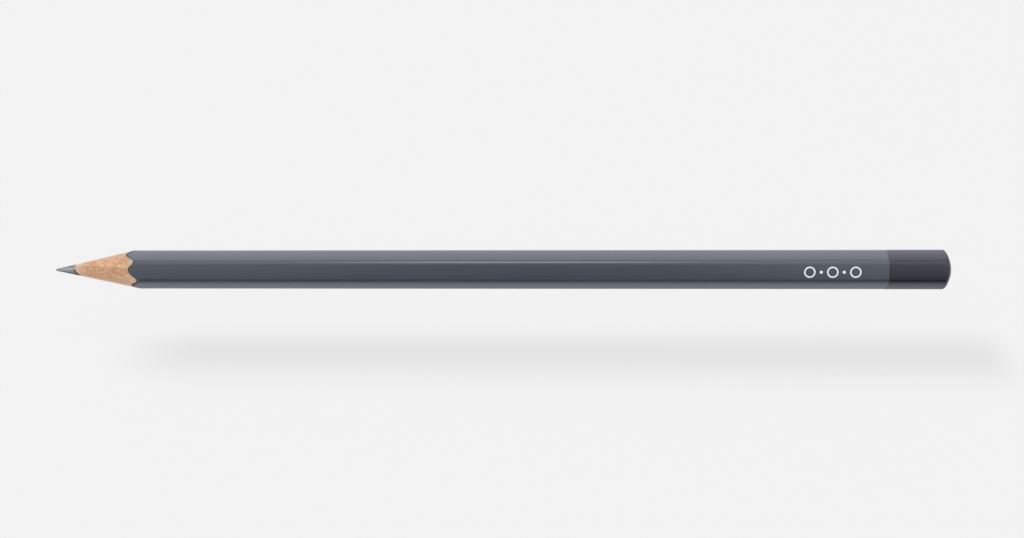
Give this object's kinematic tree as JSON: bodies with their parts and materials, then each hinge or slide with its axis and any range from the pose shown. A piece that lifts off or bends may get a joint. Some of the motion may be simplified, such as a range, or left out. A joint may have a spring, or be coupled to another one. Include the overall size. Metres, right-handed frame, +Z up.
{
  "type": "wooden pencil",
  "caption": "Hexagonal wooden pencil with a graphite core, satin grey lacquer, a sharpened point with bare wood and a dark dipped, domed end.",
  "frame": {"origin": "under the middle of the pencil's length and width, on the flat that it lies on", "axes": "+X runs from the point to the dipped end, +Z is up, and -Y is the side with the print on its upper flat"},
  "size_m": [0.178, 0.0078, 0.0072],
  "materials": {
    "wood_upper": "raw cedar-like softwood, cut by a sharpener",
    "wood_lower": "raw cedar-like softwood, cut by a sharpener",
    "graphite": "fired graphite and clay with a dull metallic sheen",
    "glue": "dried wood glue",
    "primer": "matt pale undercoat",
    "lacquer": "satin slate-grey lacquer",
    "dip": "satin charcoal dipped paint",
    "foil": "hot-stamped white foil"
  },
  "bodies": {
    "root": {"slat_upper": "wood_upper", "slat_lower": "wood_lower", "graphite_core": "graphite", "glue_film": "glue", "primer_coat": "primer", "lacquer_coat": "lacquer", "end_dip": "dip", "foil_print": "foil"}
  },
  "joints": []
}
